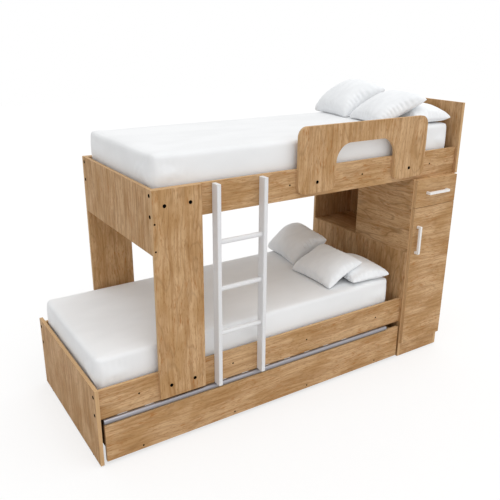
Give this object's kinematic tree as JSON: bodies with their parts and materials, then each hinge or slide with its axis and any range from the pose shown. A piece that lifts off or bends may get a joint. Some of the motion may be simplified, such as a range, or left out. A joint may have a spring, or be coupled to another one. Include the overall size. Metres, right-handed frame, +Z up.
{
  "type": "bunk bed",
  "caption": "Oak-grain bunk bed with offset upper bunk, white ladder, arched guard panel, storage tower with niche, drawer and door, and a trundle on castors.",
  "frame": {"origin": "on the floor under the middle of the whole bed's bounding box", "axes": "+Z up, +X along the beds from the foot panel to the tower, -Y towards the ladder and the trundle's front"},
  "size_m": [2.3026, 0.937, 1.6481],
  "materials": {
    "oak_board": "oak-grain melamine, satin",
    "pine": "planed, bare",
    "hardboard": "thin board, matt",
    "mattress_cover": "white woven cover",
    "pillow_cover": "white cotton",
    "white_steel": "white powder coat",
    "white_handle": "white satin paint",
    "white_plastic": "moulded, matt",
    "black_plastic": "moulded, matt",
    "black_bolt": "black oxide",
    "dark_screw": "dark plated",
    "zinc_steel": "zinc plated",
    "aluminium_profile": "satin anodised",
    "grey_wheel": "grey tread, matt"
  },
  "bodies": {
    "frame": {"foot_panel": "oak_board", "lower_front_rail": "oak_board", "lower_rear_rail": "oak_board", "lower_head_panel": "oak_board", "lower_mattress": "mattress_cover", "lower_pillow_rear": "pillow_cover", "lower_pillow_front": "pillow_cover", "lower_pillow_head": "pillow_cover", "front_leg": "oak_board", "rear_leg": "oak_board", "upper_end_panel": "oak_board", "upper_front_rail": "oak_board", "upper_rear_rail": "oak_board", "headboard": "oak_board", "guard_panel": "oak_board", "upper_mattress": "mattress_cover", "upper_pillow_rear": "pillow_cover", "upper_pillow_front": "pillow_cover", "upper_pillow_head": "pillow_cover", "slat_ledgers": "pine", "bed_slats": "pine", "ladder_left_stile": "white_steel", "ladder_right_stile": "white_steel", "ladder_rungs": "white_steel", "ladder_end_caps": "white_plastic", "tower_upper_side": "oak_board", "tower_right_side": "oak_board", "tower_back": "oak_board", "tower_top": "oak_board", "tower_bottom": "oak_board", "tower_plinth": "oak_board", "niche_floor": "oak_board", "niche_divider": "oak_board", "drawer_shelf": "oak_board", "drawer_cabinet_runners": "zinc_steel", "door_hinge_arms": "zinc_steel", "floor_glides": "black_plastic", "connector_bolts": "black_bolt", "frame_screws": "dark_screw"},
    "trundle": {"trundle_front": "oak_board", "trundle_screws": "dark_screw", "trundle_sides": "oak_board", "trundle_back": "oak_board", "trundle_ledgers": "pine", "trundle_slats": "pine", "trundle_handle_profile": "aluminium_profile", "castor_forks": "zinc_steel"},
    "tower_drawer": {"drawer_front": "oak_board", "drawer_sides": "oak_board", "drawer_back": "oak_board", "drawer_bottom": "hardboard", "drawer_rails": "zinc_steel", "drawer_handle": "white_handle"},
    "tower_door": {"door": "oak_board", "door_hinge_cups": "zinc_steel", "door_handle": "white_handle"},
    "wheel_front_left": {"castor_wheel_front_left": "grey_wheel"},
    "wheel_rear_left": {"castor_wheel_rear_left": "grey_wheel"},
    "wheel_front_right": {"castor_wheel_front_right": "grey_wheel"},
    "wheel_rear_right": {"castor_wheel_rear_right": "grey_wheel"}
  },
  "joints": [
    {"name": "trundle_slide", "type": "slide", "parent": "frame", "child": "trundle", "axis": [0, -1, 0], "range_m": [0, 0.7]},
    {"name": "drawer_slide", "type": "slide", "parent": "frame", "child": "tower_drawer", "axis": [0, -1, 0], "range_m": [0, 0.3]},
    {"name": "door_hinge", "type": "hinge", "parent": "frame", "child": "tower_door", "pos_m": [1.1325, -0.42055, 0.53675], "axis": [0, 0, 1], "range_deg": [0, 105]},
    {"name": "wheel_front_left_spin", "type": "hinge", "parent": "trundle", "child": "wheel_front_left", "pos_m": [-1.0055, -0.31225, 0.022], "axis": [1, 0, 0], "range_deg": [0, 1824]},
    {"name": "wheel_front_right_spin", "type": "hinge", "parent": "trundle", "child": "wheel_front_right", "pos_m": [0.6625, -0.31225, 0.022], "axis": [1, 0, 0], "range_deg": [0, 1824]},
    {"name": "wheel_rear_left_spin", "type": "hinge", "parent": "trundle", "child": "wheel_rear_left", "pos_m": [-1.0055, 0.28775, 0.022], "axis": [1, 0, 0], "range_deg": [0, 1824]},
    {"name": "wheel_rear_right_spin", "type": "hinge", "parent": "trundle", "child": "wheel_rear_right", "pos_m": [0.6625, 0.28775, 0.022], "axis": [1, 0, 0], "range_deg": [0, 1824]}
  ],
  "couplings": [
    {"joint": "wheel_front_left_spin", "follows": "trundle_slide", "rad_per_m": 45.455},
    {"joint": "wheel_front_right_spin", "follows": "trundle_slide", "rad_per_m": 45.455},
    {"joint": "wheel_rear_left_spin", "follows": "trundle_slide", "rad_per_m": 45.455},
    {"joint": "wheel_rear_right_spin", "follows": "trundle_slide", "rad_per_m": 45.455}
  ]
}
